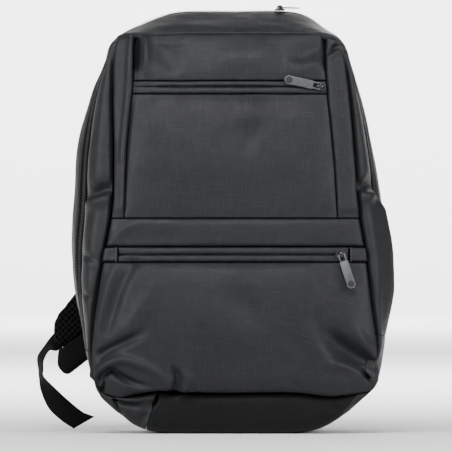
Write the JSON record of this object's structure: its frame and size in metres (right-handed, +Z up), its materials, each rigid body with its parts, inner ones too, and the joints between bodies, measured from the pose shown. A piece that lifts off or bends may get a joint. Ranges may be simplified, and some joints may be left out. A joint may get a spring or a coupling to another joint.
{
  "type": "laptop backpack",
  "caption": "Upright laptop backpack of dark coated cloth with zipped front pockets, a horseshoe main zip, padded shoulder straps and swinging metal zip pullers.",
  "frame": {"origin": "on the flat underside of the base, under the middle of the front face at half the depth", "axes": "+Z up, -Y out of the front face, +X to the right as seen from the front"},
  "size_m": [0.3634, 0.2111, 0.4377],
  "materials": {
    "coated_cloth": "semi-matte coated twill",
    "spacer_mesh": "matte knitted mesh",
    "end_cloth": "smooth matte cloth",
    "webbing": "ribbed woven webbing",
    "zip_tape": "matte tape with a nylon coil",
    "gunmetal": "satin gunmetal",
    "black_plastic": "moulded matte"
  },
  "bodies": {
    "bag": {"front_upper_panel": "coated_cloth", "left_front_strip": "coated_cloth", "right_front_strip": "coated_cloth", "upper_zip_top_lip": "coated_cloth", "upper_zip_bottom_lip": "coated_cloth", "upper_pocket_panel": "coated_cloth", "mid_band": "coated_cloth", "lower_zip_top_lip": "coated_cloth", "lower_zip_bottom_lip": "coated_cloth", "lower_zip_left_tab": "coated_cloth", "lower_zip_right_tab": "coated_cloth", "lower_pocket_panel": "coated_cloth", "right_gusset": "coated_cloth", "top_gusset": "coated_cloth", "left_gusset": "coated_cloth", "rear_gusset": "coated_cloth", "left_corner_panel": "coated_cloth", "base_panel": "coated_cloth", "right_corner_panel": "coated_cloth", "back_panel": "coated_cloth", "upper_zip_chain": "zip_tape", "lower_zip_chain": "zip_tape", "main_zip_chain": "zip_tape", "left_strap_pad": "spacer_mesh", "left_strap_end": "end_cloth", "left_webbing": "webbing", "left_buckle": "black_plastic", "left_buckle_loop": "webbing", "right_strap_pad": "spacer_mesh", "right_strap_end": "end_cloth", "right_webbing": "webbing", "right_buckle": "black_plastic", "right_buckle_loop": "webbing", "upper_zip_slider": "gunmetal", "lower_zip_slider": "gunmetal", "top_zip_slider": "gunmetal"},
    "upper_puller": {"upper_zip_puller": "gunmetal"},
    "lower_puller": {"lower_zip_puller": "gunmetal"},
    "top_puller": {"top_zip_puller": "gunmetal"}
  },
  "joints": [
    {"name": "upper_puller_swing", "type": "hinge", "parent": "bag", "child": "upper_puller", "pos_m": [0.0905, -0.0601, 0.3528], "axis": [0.2079, 0, 0.9781], "range_deg": [0, 140]},
    {"name": "lower_puller_swing", "type": "hinge", "parent": "bag", "child": "lower_puller", "pos_m": [0.11168, -0.0758, 0.18231], "axis": [-0.9511, 0, -0.309], "range_deg": [0, 140]},
    {"name": "top_puller_swing", "type": "hinge", "parent": "bag", "child": "top_puller", "pos_m": [0.05015, 0.0037, 0.4351], "axis": [0.866, -0.5, 0], "range_deg": [0, 140]}
  ]
}
